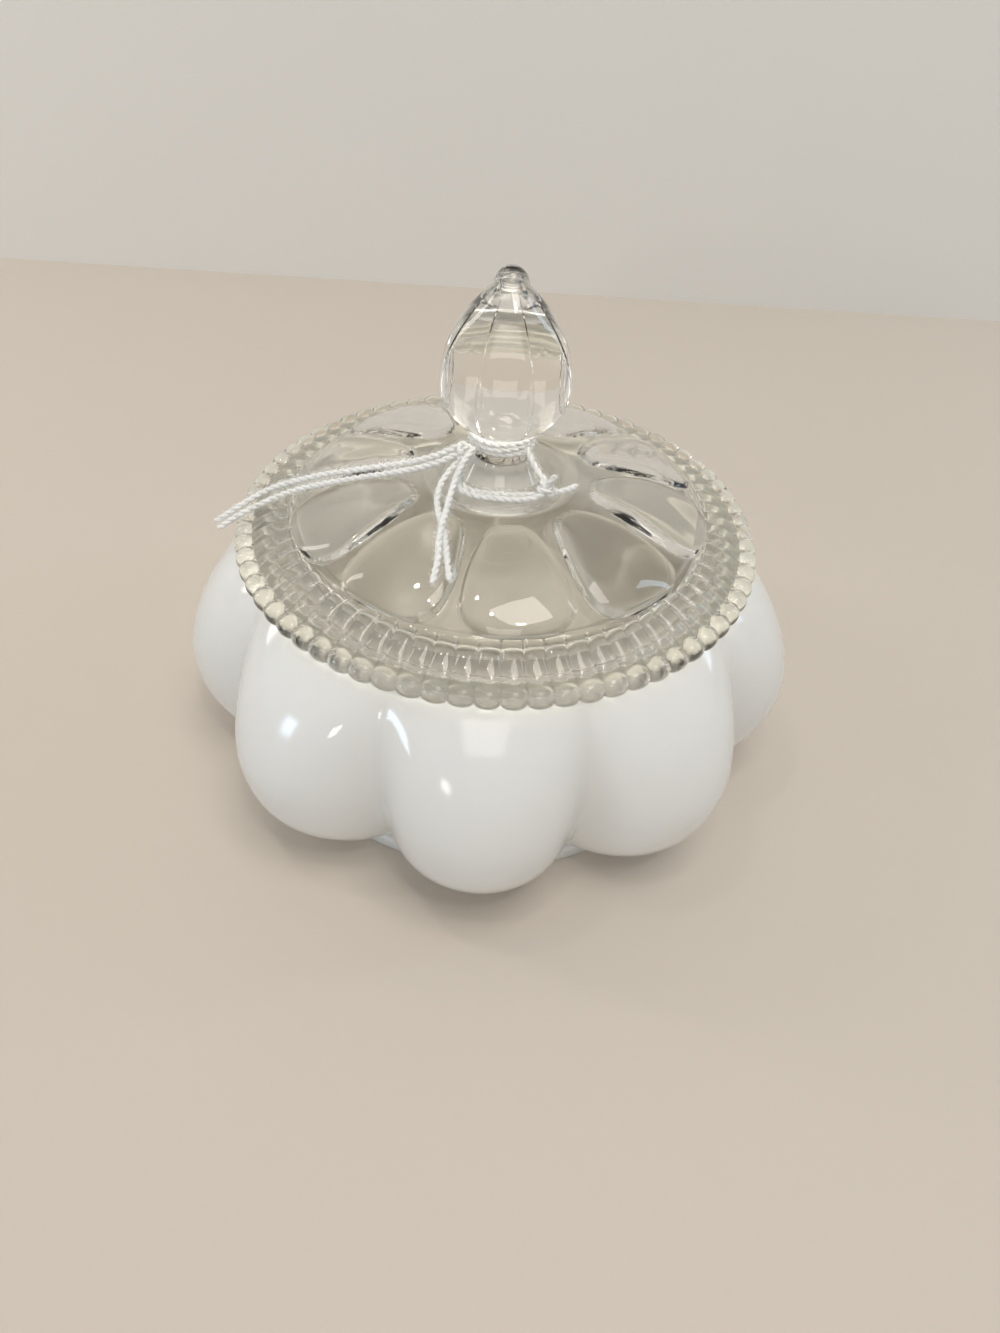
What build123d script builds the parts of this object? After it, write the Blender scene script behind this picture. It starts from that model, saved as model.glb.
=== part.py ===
from build123d import *
import math
import os

# A lobed opal-glass cream jar with a loose clear pressed-glass lid and a bit of cotton string
# left tied round the neck of the lid's knob. Millimetres, +Z up. The origin is on the table at
# the centre of the foot, and one lobe faces -Y.

# ---- bowl -------------------------------------------------------------------------------------
LOBE_COUNT = 9
CREST_RADIUS = 62.0           # widest reach of a lobe
VALLEY_RADIUS = 53.2          # the groove between two lobes, at its widest
CREST_HEIGHT = 23.0           # level of the lobes' widest point
VALLEY_HEIGHT = 27.5          # level of the grooves' widest point
LOBE_ROUNDNESS = 0.63         # 1 makes each lobe a half circle in plan
GROOVE_SOFTNESS = 0.10        # fillet of the groove, as a share of half a lobe
LOBE_STEPS = 12               # points on each lobe's outline
BODY_HEIGHT = 46.6            # where the lobes run out under the lip
BODY_FLOOR = 1.2              # underside of the body above the table
BODY_FOOT_RADIUS = 34.9       # radius that the lobes curve in towards at the table
WALL = 3.2
FLOOR = 4.0
FOOT_RADIUS = 46.3
FOOT_WIDTH = 5.5
FOOT_HEIGHT = 3.4
SEAT_HEIGHT = 47.8            # flat top of the lip, where the lid rests
MOUTH_RADIUS = 42.6
LIP_WIDTH = 4.8
LIP_ROUND = 0.7
SHOULDER_INSET = 1.9          # the shoulder curve closes this far inside the mouth
SHOULDER_RISE = 2.0           # and this far above the seat

# ---- lid --------------------------------------------------------------------------------------
RIM_OVERHANG = 7.4            # bead tips beyond the mouth
BEAD_RADIUS = 2.0
BEAD_COUNT = 72
BEAD_LIFT = 0.1               # beads clear the bowl by this much
RIB_INNER_RADIUS = 1.3
FLANGE_INSET = 0.4            # the plain flange ends this far inside the bead centres
BAND_WIDTH = 10.5             # from the dome's edge to the bead tips
BAND_HEIGHT = 6.8             # dome's edge above the seat
DOME_RISE = 6.4               # plateau above the dome's edge
DOME_POWER = 2.2
LID_WALL = 3.3
RING_CLEARANCE = 1.0          # locating ring inside the mouth
RING_WALL = 2.8
RING_DEPTH = 4.0
PETAL_COUNT = 10
PETAL_TURN = 7.0              # degrees from -Y, towards +X, to the first petal's middle
PETAL_PROUD = 0.9
PETAL_GAP = 4.8               # from the collar's edge to a petal's inner end
PETAL_FULLNESS = 1.08         # buried width of a petal against its share of the circle
COLLAR_RADIUS = 13.5
COLLAR_STEP = 0.8
STEM_BASE_RADIUS = 7.9
NECK_RADIUS = 4.9
NECK_BASE_HEIGHT = 6.2        # straight neck begins this far above the collar
NECK_LENGTH = 2.6
KNOB_RADIUS = 12.05
KNOB_WAIST_DROP = 10.3        # from the knob's widest level down to the neck
KNOB_TAPER = 15.3             # from the knob's widest level up to its tip bead
KNOB_SHOULDER = 1.77          # 1 is a straight cone, more is fuller
KNOB_PANELS = 8
PANEL_FLATNESS = 0.055        # how far a panel's middle lies inside its edges
PANEL_STEPS = 6
KNOB_LEDGE = 0.2              # the knob's foot stands out past the neck
TIP_RADIUS = 2.95
TIP_HEIGHT = 3.0

# ---- string -----------------------------------------------------------------------------------
STRING = 1.05                 # diameter
STRING_CLEARANCE = 0.25
WRAP_TURNS = 2.7
KNOT_RADIUS = 1.8

FULL_TURN = 2 * math.pi


def lobe_share(angle):
    """1 on a lobe's crest, 0 in the groove, for an angle measured from -Y."""
    across = (angle * LOBE_COUNT / FULL_TURN + 0.5) % 1.0 * 2 - 1
    from_groove = math.hypot(1 - abs(across), GROOVE_SOFTNESS) - GROOVE_SOFTNESS
    from_groove /= math.hypot(1, GROOVE_SOFTNESS) - GROOVE_SOFTNESS
    bow = math.sqrt(1 - LOBE_ROUNDNESS * (1 - from_groove) ** 2)
    lowest = math.sqrt(1 - LOBE_ROUNDNESS)
    return (bow - lowest) / (1 - lowest)


def swell(height, widest, widest_at, top, foot, powers):
    """Radius of a bulging outline: top and foot are (radius, height) where it closes."""
    end_radius, end_height = top if height > widest_at else foot
    power = powers[0] if height > widest_at else powers[1]
    share = abs(height - widest_at) / abs(end_height - widest_at)
    return end_radius + (widest - end_radius) * max(1 - share**power, 0.0) ** (1 / power)


def body_radius(angle, height, inset=0.0):
    """Radius of the bowl's lobed body, or of its cavity where inset is the wall."""
    top = (MOUTH_RADIUS - SHOULDER_INSET - inset, SEAT_HEIGHT + SHOULDER_RISE - inset)
    foot = (BODY_FOOT_RADIUS - inset, inset)
    crest = swell(height, CREST_RADIUS - inset, CREST_HEIGHT, top, foot, (1.63, 2.23))
    valley = swell(height, VALLEY_RADIUS - inset, VALLEY_HEIGHT, top, foot, (1.91, 1.97))
    return valley + (crest - valley) * lobe_share(angle)


def outline(height, radius_at, sectors, steps):
    """A closed smooth wire at a height; its points crowd towards the edges of each sector."""
    points, angles = [], []
    for sector in range(sectors):
        for step in range(steps):
            across = math.sin(math.pi / 2 * (2 * step / steps - 1))
            angle = (sector + across / 2) * FULL_TURN / sectors
            radius = radius_at(angle, height)
            points.append((radius * math.sin(angle), -radius * math.cos(angle), height))
            angles.append(angle)
    angles.append(angles[0] + FULL_TURN)
    return Wire([Edge.make_spline(points, periodic=True, parameters=angles)])


def skin(heights, radius_at, sectors, steps):
    """One solid lofted through outlines at the given heights."""
    return Solid.make_loft([outline(height, radius_at, sectors, steps) for height in heights])


def spaced(low, high, count):
    """Heights from low to high that crowd towards both ends."""
    middle, half = (low + high) / 2, (high - low) / 2
    return [middle - half * math.cos(math.pi * i / (count - 1)) for i in range(count)]


def turned(edges, axis):
    """The solid that a closed outline sweeps out round an axis."""
    return revolve(Face(Wire(edges)), axis)


def ring(inner, outer, low, high):
    """An upright ring between two radii and two heights."""
    return Pos(0, 0, low) * extrude(Circle(outer) - Circle(inner), high - low)


def make_bowl():
    body = skin(spaced(BODY_FLOOR, BODY_HEIGHT, 15), body_radius, LOBE_COUNT, LOBE_STEPS)
    foot = ring(FOOT_RADIUS - FOOT_WIDTH, FOOT_RADIUS, 0, FOOT_HEIGHT)
    foot = fillet(foot.edges().group_by(Axis.Z)[0], LIP_ROUND)
    lip = ring(MOUTH_RADIUS, MOUTH_RADIUS + LIP_WIDTH, BODY_HEIGHT - WALL, SEAT_HEIGHT)
    lip = fillet(lip.edges().group_by(Axis.Z)[-1], LIP_ROUND)
    cavity_top = BODY_HEIGHT - WALL / 2
    cavity = skin(
        spaced(BODY_FLOOR + FLOOR, cavity_top, 13),
        lambda angle, height: body_radius(angle, height, WALL),
        LOBE_COUNT,
        LOBE_STEPS,
    )
    mouth = Pos(0, 0, cavity_top - WALL) * extrude(Circle(MOUTH_RADIUS), SEAT_HEIGHT)
    return (body + foot + lip) - cavity - mouth


# ---- heights and radii of the lid, all from the seat and the mouth ------------------------------
RIM_RADIUS = MOUTH_RADIUS + RIM_OVERHANG
BEAD_RING = RIM_RADIUS - BEAD_RADIUS
BEAD_LEVEL = SEAT_HEIGHT + BEAD_LIFT + BEAD_RADIUS
DOME_RADIUS = RIM_RADIUS - BAND_WIDTH
BAND_LEVEL = SEAT_HEIGHT + BAND_HEIGHT
COLLAR_LEVEL = BAND_LEVEL + DOME_RISE + COLLAR_STEP
NECK_LEVEL = COLLAR_LEVEL + NECK_BASE_HEIGHT
NECK_TOP = NECK_LEVEL + NECK_LENGTH
KNOB_LEVEL = NECK_TOP + KNOB_WAIST_DROP - STRING_CLEARANCE
TIP_LEVEL = KNOB_LEVEL + KNOB_TAPER


def dome_height(radius):
    """Top of the dome between the collar and the ribbed band."""
    share = (radius - COLLAR_RADIUS) / (DOME_RADIUS - COLLAR_RADIUS)
    return BAND_LEVEL + DOME_RISE * (1 - max(share, 0.0) ** DOME_POWER)


def knob_radius(angle, height):
    """Radius of the panelled knob: a round bowl below, a cone with a round tip bead above."""
    if height >= TIP_LEVEL:
        return TIP_RADIUS * math.sqrt(1 - ((height - TIP_LEVEL) / TIP_HEIGHT) ** 2)
    if height < KNOB_LEVEL:
        waist = (NECK_RADIUS + KNOB_LEDGE) / KNOB_RADIUS
        drop = KNOB_WAIST_DROP / math.sqrt(1 - waist**2)
        share = (KNOB_LEVEL - height) / drop
        reach = KNOB_RADIUS * math.sqrt(1 - share**2)
    else:
        share = (height - KNOB_LEVEL) / KNOB_TAPER
        reach = KNOB_RADIUS + (TIP_RADIUS - KNOB_RADIUS) * share**KNOB_SHOULDER
    fullness = math.sin(math.pi * min(max((height - NECK_TOP) / (TIP_LEVEL - NECK_TOP), 0), 1))
    across = (angle * KNOB_PANELS / FULL_TURN + 0.5) % 1.0 * 2 - 1
    return reach * (1 - PANEL_FLATNESS * math.sqrt(fullness) * (1 - across**2))


def make_lid_shell():
    """Dome, collar, stem, seat flange and locating ring, turned in one."""
    ring_outer = MOUTH_RADIUS - RING_CLEARANCE
    ring_inner = ring_outer - RING_WALL
    ring_foot = SEAT_HEIGHT - RING_DEPTH
    flange = BEAD_RING - FLANGE_INSET
    under_edge = ring_inner - RING_WALL
    middle = (COLLAR_RADIUS + under_edge) / 2
    under = [(radius, dome_height(radius) - LID_WALL) for radius in (COLLAR_RADIUS, middle, under_edge)]
    crown = (0, under[0][1])
    corner = (ring_inner, under[-1][1] - RING_WALL / 2)
    wall = [
        corner,
        (ring_inner, ring_foot),
        (ring_outer, ring_foot),
        (ring_outer, SEAT_HEIGHT),
        (flange, SEAT_HEIGHT),
        (flange, BEAD_LEVEL + FLANGE_INSET),
        (DOME_RADIUS, BAND_LEVEL),
    ]
    dome_inner = COLLAR_RADIUS + COLLAR_STEP
    dome_steps = 6
    dome = [
        (radius, dome_height(radius))
        for radius in (
            DOME_RADIUS + (dome_inner - DOME_RADIUS) * step / dome_steps
            for step in range(dome_steps + 1)
        )
    ]
    collar_bend = (COLLAR_RADIUS + COLLAR_STEP / 4, COLLAR_LEVEL - COLLAR_STEP / 2.3)
    collar = (COLLAR_RADIUS - COLLAR_STEP, COLLAR_LEVEL)
    stem_base = (STEM_BASE_RADIUS, COLLAR_LEVEL)
    flare_bend = (
        NECK_RADIUS + (STEM_BASE_RADIUS - NECK_RADIUS) * 0.25,
        COLLAR_LEVEL + NECK_BASE_HEIGHT * 0.35,
    )
    neck, neck_top = (NECK_RADIUS, NECK_LEVEL), (NECK_RADIUS, NECK_TOP)

    def at(point):
        return Vector(point[0], 0, point[1])

    def line(start, end):
        return Edge.make_line(at(start), at(end))

    edges = [
        line(crown, under[0]),
        Edge.make_spline([at(point) for point in under + [corner]]),
        *[line(start, end) for start, end in zip(wall, wall[1:])],
        Edge.make_spline([at(point) for point in dome]),
        Edge.make_three_point_arc(at(dome[-1]), at(collar_bend), at(collar)),
        line(collar, stem_base),
        Edge.make_three_point_arc(at(stem_base), at(flare_bend), at(neck)),
        line(neck, neck_top),
        line(neck_top, (0, NECK_TOP)),
        line((0, NECK_TOP), crown),
    ]
    return turned(edges, Axis.Z)


def make_knob():
    """The panelled knob in one skin, from inside the neck's top to the tip's small flat."""
    bulb = spaced(NECK_TOP - STRING_CLEARANCE, TIP_LEVEL - 0.8, 11)
    tip = [TIP_LEVEL + TIP_HEIGHT * share for share in (0, 0.3, 0.6, 0.8, 0.93, 0.985)]
    return skin(bulb + tip, knob_radius, KNOB_PANELS, PANEL_STEPS)


def make_rib():
    """One rib of the band with its round bead end, lying along +X from the dome's edge."""
    start = Vector(DOME_RADIUS + FLANGE_INSET, 0, BAND_LEVEL - RIB_INNER_RADIUS)
    end = Vector(BEAD_RING, 0, BEAD_LEVEL)
    length = (end - start).length
    diagonal = BEAD_RADIUS * math.sqrt(0.5)
    corners = [(length + BEAD_RADIUS, 0), (0, 0), (0, RIB_INNER_RADIUS), (length, BEAD_RADIUS)]
    edges = [Edge.make_line(a, b) for a, b in zip(corners, corners[1:])]
    edges.append(Edge.make_three_point_arc(corners[-1], (length + diagonal, diagonal), corners[0]))
    slope = math.degrees(math.atan2(start.Z - end.Z, end.X - start.X))
    return Pos(start.X, 0, start.Z) * Rot(0, slope, 0) * turned(edges, Axis.X)


def make_petal():
    """One pillow of the dome, lying along +X."""
    inner, outer = COLLAR_RADIUS + PETAL_GAP, DOME_RADIUS - FLANGE_INSET
    middle = (inner + outer) / 2
    chord = (dome_height(inner) + dome_height(outer)) / 2
    bulge = dome_height(middle) - chord + PETAL_PROUD
    half_width = middle * math.sin(math.pi / PETAL_COUNT) * PETAL_FULLNESS
    slope = math.degrees(math.atan2(dome_height(inner) - dome_height(outer), outer - inner))
    pillow = scale(Sphere(1), by=((outer - inner) / 2, half_width, bulge))
    return Pos(middle, 0, chord) * Rot(0, slope, 0) * pillow


def make_lid():
    ribs = [Rot(0, 0, 360 * i / BEAD_COUNT) * make_rib() for i in range(BEAD_COUNT)]
    petals = [
        Rot(0, 0, PETAL_TURN - 90 + 360 * i / PETAL_COUNT) * make_petal() for i in range(PETAL_COUNT)
    ]
    return make_lid_shell().fuse(make_knob()).fuse(*petals).fuse(*ribs)


# Routes of the string, chosen by hand. Each is one strand, from where it leaves a knot or the wrap.
TAIL_UPPER = [
    (-6.6, -4.1, 69.2), (-9.9, -4.2, 67.2), (-13.5, -3.7, 65.3), (-18.0, -3.1, 63.6),
    (-23.2, -3.2, 62.5), (-28.6, -3.1, 61.2), (-33.9, -2.8, 59.7), (-38.8, -2.2, 57.7),
    (-43.3, -2.1, 55.8), (-47.2, -3.7, 53.9), (-50.4, -5.4, 52.3), (-53.4, -5.6, 50.1),
]
TAIL_LOWER = [
    (-6.7, -5.1, 68.3), (-9.8, -5.5, 66.4), (-13.4, -5.0, 64.5), (-18.0, -4.7, 62.9),
    (-23.0, -5.2, 62.0), (-28.2, -5.3, 60.8), (-33.3, -5.1, 59.3), (-38.0, -4.4, 57.3),
    (-42.3, -4.7, 55.4), (-46.2, -6.0, 53.7), (-49.5, -7.3, 52.2), (-52.3, -7.6, 50.0),
]
FRONT_LEFT = [
    (-6.9, -4.5, 66.9), (-8.8, -6.7, 65.4), (-10.3, -9.2, 64.3), (-11.0, -12.4, 63.2),
    (-10.4, -16.2, 62.5), (-9.2, -20.1, 62.1), (-8.5, -24.1, 61.9), (-8.0, -28.1, 61.3),
    (-7.2, -32.1, 60.2),
]
FRONT_RIGHT = [
    (-5.0, -5.3, 68.9), (-6.3, -7.1, 67.9), (-7.4, -9.4, 66.7), (-8.1, -12.1, 65.4),
    (-8.6, -15.2, 64.4), (-8.9, -18.4, 63.9), (-9.4, -21.8, 63.5), (-9.6, -25.3, 62.3),
    (-9.4, -29.1, 61.2), (-10.0, -32.9, 60.0),
]
COLLAR_INNER = [
    (-5.9, -0.8, 67.1), (-7.0, -2.9, 66.1), (-7.5, -5.1, 64.8), (-7.4, -7.2, 63.3),
    (-5.9, -9.0, 62.7), (-3.1, -9.8, 62.65), (0.2, -10.0, 62.65), (3.4, -9.8, 62.65),
    (6.4, -9.3, 62.7), (9.4, -8.6, 62.8), (12.1, -7.2, 62.6), (13.9, -5.0, 62.2),
]
COLLAR_OUTER = [
    (4.3, -4.0, 68.8), (5.5, -5.1, 66.9), (6.8, -6.3, 65.3), (8.4, -7.8, 64.5),
    (8.5, -10.1, 63.9), (5.6, -11.2, 62.8), (2.0, -11.4, 62.65), (-1.4, -11.3, 62.65),
    (-4.7, -10.9, 62.7), (-7.3, -9.8, 63.1), (-7.8, -8.0, 64.4), (-6.7, -6.4, 66.1),
]
STRANDS = {
    "string_tail_upper": TAIL_UPPER,
    "string_tail_lower": TAIL_LOWER,
    "string_front_left": FRONT_LEFT,
    "string_front_right": FRONT_RIGHT,
    "string_collar_inner": COLLAR_INNER,
    "string_collar_outer": COLLAR_OUTER,
}
KNOT_LEFT = (-6.6, -5.0, 68.0)
KNOT_RIGHT = (8.2, -9.1, 63.9)


def corner_radii(points):
    """The largest arc that each corner of a route has room for."""
    radii = []
    for a, b, c in zip(points, points[1:], points[2:]):
        a, b, c = Vector(*a), Vector(*b), Vector(*c)
        half_turn = math.radians((b - a).get_angle(c - b)) / 2
        radii.append(0.45 * min((b - a).length, (c - b).length) / math.tan(half_turn))
    return radii


def make_strand(name, points):
    radii = corner_radii(points)
    path = FilletPolyline(*points, radius=radii)
    strand = sweep(Plane(path @ 0, z_dir=path % 0) * Circle(STRING / 2), path=path)
    share = strand.volume / (math.pi * (STRING / 2) ** 2 * path.length)
    print(f"{name}: {path.length:.1f} mm, volume {share:.4f} of section x length, radii",
          " ".join(f"{radius:.1f}" for radius in radii))
    return strand


def make_wrap():
    """The turns round the neck as one plain ring."""
    inner = NECK_RADIUS + STRING_CLEARANCE
    low = NECK_TOP - WRAP_TURNS * STRING
    wrap = ring(inner, inner + 1.45 * STRING, low, NECK_TOP - STRING_CLEARANCE / 2)
    return fillet(wrap.edges(), STRING * 0.4)


def make_knot(centre):
    return Pos(*centre) * Sphere(KNOT_RADIUS)


def main():
    os.makedirs("parts", exist_ok=True)
    pieces = {"bowl": make_bowl(), "lid": make_lid(), "string_neck_wrap": make_wrap()}
    pieces["string_knot_left"] = make_knot(KNOT_LEFT)
    pieces["string_knot_right"] = make_knot(KNOT_RIGHT)
    for name, points in STRANDS.items():
        pieces[name] = make_strand(name, points)
    for name, piece in pieces.items():
        export_step(piece, f"parts/{name}.step")


if __name__ == "__main__":
    main()
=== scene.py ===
"""Looks of a lobed opal-glass cream jar with a loose pressed-glass lid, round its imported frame.

The bowl and the lid are closed skins, each made of one sector that a Geometry Nodes tree repeats
round the jar's axis: nine lobes, ten petals, seventy-two ribs and eight knob panels. The bit of
cotton string on the knob's neck is two-ply cord along its own routes. Sizes are in millimetres
until a mesh is made, and angles round the axis are measured from -Y towards +X.
"""

from __future__ import annotations

import logging
import math
from dataclasses import dataclass, field
from enum import Enum
from typing import Callable, Sequence

import bmesh
import bpy
from mathutils import Matrix, Vector

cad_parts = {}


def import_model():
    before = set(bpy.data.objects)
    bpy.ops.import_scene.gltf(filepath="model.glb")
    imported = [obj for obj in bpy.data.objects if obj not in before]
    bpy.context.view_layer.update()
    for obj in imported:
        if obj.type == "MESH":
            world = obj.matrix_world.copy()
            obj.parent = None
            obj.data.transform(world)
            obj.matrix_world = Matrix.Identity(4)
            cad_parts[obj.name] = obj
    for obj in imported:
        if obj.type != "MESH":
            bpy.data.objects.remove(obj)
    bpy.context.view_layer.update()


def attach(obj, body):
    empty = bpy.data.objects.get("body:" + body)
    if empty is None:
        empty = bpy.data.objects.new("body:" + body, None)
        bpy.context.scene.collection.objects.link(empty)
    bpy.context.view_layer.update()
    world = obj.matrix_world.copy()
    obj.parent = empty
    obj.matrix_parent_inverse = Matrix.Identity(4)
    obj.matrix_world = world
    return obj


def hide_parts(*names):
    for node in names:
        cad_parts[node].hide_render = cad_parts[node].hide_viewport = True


LOG = logging.getLogger("cream_jar")
MM = 0.001
FULL_TURN = 2 * math.pi

Row = list[Vector]
Flat = tuple[float, float]
Place = tuple[float, float, float]
Colour = tuple[float, float, float]
Outline = Callable[[float], Flat]


class Body(Enum):
    """The two bodies of the jar that move apart."""

    JAR = "jar"
    LID = "lid"


class Slot(Enum):
    """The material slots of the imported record."""

    OPAL = "opal_glass"
    CLEAR = "clear_glass"
    COTTON = "cotton_string"


class FarEnd(Enum):
    """What a length of string ends in."""

    BARE = "bare"
    OBJECT = "object"


# ---- small helpers ---------------------------------------------------------------------------


def on_ring(angle: float, radius: float, height: float) -> Vector:
    """A point round the axis, in metres.

    Args:
        angle: angle from -Y towards +X, in radians.
        radius: distance from the axis, in millimetres.
        height: height above the table, in millimetres.

    Returns:
        The point in the frame.
    """
    return Vector((radius * math.sin(angle), -radius * math.cos(angle), height)) * MM


def soft_max(first: float, second: float, blend: float) -> float:
    """The larger of two numbers, with a fillet as wide as blend where they are equal."""
    return (first + second + math.hypot(first - second, blend)) / 2


def eased(count: int) -> list[float]:
    """Numbers from 0 to 1 that crowd towards both ends."""
    return [(1 - math.cos(math.pi * step / count)) / 2 for step in range(count + 1)]


def between(low: float, high: float, count: int) -> list[float]:
    """Numbers from low to high that crowd towards both ends."""
    return [low + (high - low) * share for share in eased(count)]


def arc(centre: Flat, radius: float, start: float, end: float, count: int) -> list[Flat]:
    """Points (radius, height) on an arc.

    Args:
        centre: the arc's centre as (radius, height).
        radius: the arc's own radius.
        start: first angle in degrees, 0 pointing outwards and 90 up.
        end: last angle in degrees.
        count: number of steps.

    Returns:
        The points, both ends included.
    """
    turns = [math.radians(start + (end - start) * step / count) for step in range(count + 1)]
    x, y = centre
    return [(x + radius * math.cos(turn), y + radius * math.sin(turn)) for turn in turns]


def link(data: bpy.types.ID, name: str) -> bpy.types.Object:
    """Puts a mesh, curve, lamp or camera in the scene as an object at the origin.

    Args:
        data: what the object holds.
        name: the object's name.

    Returns:
        The object.
    """
    piece = bpy.data.objects.new(name, data)
    bpy.context.scene.collection.objects.link(piece)
    return piece


def skin(name: str, strips: Sequence[Sequence[Row]]) -> bpy.types.Mesh:
    """A mesh of faces between neighbouring rows of points.

    Rows run from the top outwards and down, and their points run from -Y towards +X, so that the
    faces point outwards. Two rows have as many points, or one has one point for each second point
    of the other.

    Args:
        name: the mesh's name.
        strips: the strips of rows; strips aren't joined to each other.

    Returns:
        The mesh.
    """
    points: list[Vector] = []
    faces: list[tuple[int, ...]] = []
    for strip in strips:
        starts = []
        for row in strip:
            starts.append(len(points))
            points.extend(row)
        for upper, lower, first, second in zip(strip, strip[1:], starts, starts[1:]):
            if len(upper) == len(lower):
                for i in range(len(upper) - 1):
                    a, b = first + i, second + i
                    faces.append((a, b, b + 1, a + 1))
            elif len(lower) > len(upper):
                for i in range(len(upper) - 1):
                    a, b, c = first + i, second + 2 * i, first + i + 1
                    faces += [(a, b, b + 1), (a, b + 1, c), (c, b + 1, b + 2)]
            else:
                for i in range(len(lower) - 1):
                    a, b, c = second + i, first + 2 * i, second + i + 1
                    faces += [(a, b + 1, b), (a, c, b + 1), (c, b + 2, b + 1)]
    mesh = bpy.data.meshes.new(name)
    mesh.from_pydata([tuple(point) for point in points], [], faces)
    mesh.update()
    return mesh


# ---- Geometry Nodes --------------------------------------------------------------------------


class NodeTree:
    """A Geometry Nodes tree under construction, with its inputs by name."""

    def __init__(self, name: str) -> None:
        """Starts an empty tree with one geometry input and one geometry output.

        Args:
            name: the tree's name.
        """
        self.group = bpy.data.node_groups.new(name, "GeometryNodeTree")
        sockets = self.group.interface
        for side in ("INPUT", "OUTPUT"):
            sockets.new_socket("Geometry", in_out=side, socket_type="NodeSocketGeometry")
        self.start = self.group.nodes.new("NodeGroupInput")
        self.end = self.group.nodes.new("NodeGroupOutput")

    def value(self, name: str, kind: str) -> bpy.types.NodeSocket:
        """Adds a named input.

        Args:
            name: the input's name.
            kind: Float, Int or Material.

        Returns:
            The socket inside the tree that carries it.
        """
        self.group.interface.new_socket(name, in_out="INPUT", socket_type=f"NodeSocket{kind}")
        return self.start.outputs[name]

    def node(self, kind: str, settings: dict | None = None, **inputs: object) -> bpy.types.Node:
        """Adds a node.

        Args:
            kind: the node's type without its prefix, or with it for a shared node.
            settings: properties to set on the node.
            inputs: a socket to link or a value to set for each named input, with _ for a space.

        Returns:
            The node.
        """
        full = kind if kind.startswith(("Shader", "Function")) else f"GeometryNode{kind}"
        made = self.group.nodes.new(full)
        for name, setting in (settings or {}).items():
            setattr(made, name, setting)
        for name, value in inputs.items():
            socket = made.inputs[int(name[1:])] if name[0] == "i" and name[1:].isdigit() else None
            socket = socket or made.inputs[name.replace("_", " ")]
            if isinstance(value, bpy.types.NodeSocket):
                self.group.links.new(value, socket)
            else:
                socket.default_value = value
        return made

    def maths(self, operation: str, *values: object) -> bpy.types.NodeSocket:
        """One scalar operation on sockets or numbers, as the socket of its result."""
        inputs = {f"i{index}": value for index, value in enumerate(values)}
        return self.node("ShaderNodeMath", {"operation": operation}, **inputs).outputs[0]

    def vectors(
        self, operation: str, *values: object, scale: object = None
    ) -> bpy.types.NodeSocket:
        """One vector operation.

        Args:
            operation: the operation's name.
            values: sockets or vectors to work on.
            scale: a number or socket to scale by.

        Returns:
            The socket of the result.
        """
        inputs = {f"i{index}": value for index, value in enumerate(values)}
        if scale is not None:
            inputs["i3"] = scale
        return self.node("ShaderNodeVectorMath", {"operation": operation}, **inputs).outputs[0]

    def finish(self, geometry: bpy.types.NodeSocket) -> bpy.types.NodeTree:
        """Links the result to the output and returns the tree."""
        self.group.links.new(geometry, self.end.inputs[0])
        return self.group


def made_by(
    tree: bpy.types.NodeTree, source: bpy.types.Object, name: str, **values: object
) -> bpy.types.Mesh:
    """The plain mesh that a tree makes from an object, which is removed.

    Args:
        tree: the Geometry Nodes tree.
        source: the object it starts from.
        name: the new mesh's name.
        values: the tree's inputs by name, with _ for a space.

    Returns:
        The mesh.
    """
    modifier = source.modifiers.new("tree", "NODES")
    modifier.node_group = tree
    for item in tree.interface.items_tree:
        wanted = item.name.replace(" ", "_")
        if item.in_out == "INPUT" and wanted in values:
            modifier[item.identifier] = values[wanted]
    evaluated = source.evaluated_get(bpy.context.evaluated_depsgraph_get())
    mesh = bpy.data.meshes.new_from_object(evaluated)
    mesh.name = name
    bpy.data.objects.remove(source)
    return mesh


def radial_repeat() -> bpy.types.NodeTree:
    """A tree that repeats a sector round the axis and joins the copies into one skin.

    Returns:
        The tree, with inputs Count, Turn, Weld and Material.
    """
    tree = NodeTree("radial_repeat")
    count, turn = tree.value("Count", "Int"), tree.value("Turn", "Float")
    weld, material = tree.value("Weld", "Float"), tree.value("Material", "Material")
    index = tree.node("InputIndex").outputs[0]
    step = tree.maths("DIVIDE", FULL_TURN, count)
    angle = tree.maths("ADD", tree.maths("MULTIPLY", index, step), turn)
    rotation = tree.node("ShaderNodeCombineXYZ", Z=angle).outputs[0]
    points = tree.node("Points", Count=count).outputs[0]
    sector = tree.start.outputs["Geometry"]
    copies = tree.node(
        "InstanceOnPoints", Points=points, Instance=sector, Rotation=rotation
    ).outputs[0]
    whole = tree.node("RealizeInstances", Geometry=copies).outputs[0]
    joined = tree.node("MergeByDistance", Geometry=whole, Distance=weld).outputs[0]
    smooth = tree.node("SetShadeSmooth", Geometry=joined).outputs[0]
    return tree.finish(tree.node("SetMaterial", Geometry=smooth, Material=material).outputs[0])


@dataclass
class Ring:
    """One sector of a skin and how often it repeats round the axis."""

    name: str
    count: int
    strips: Sequence[Sequence[Row]]
    turn: float = 0.0


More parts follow.
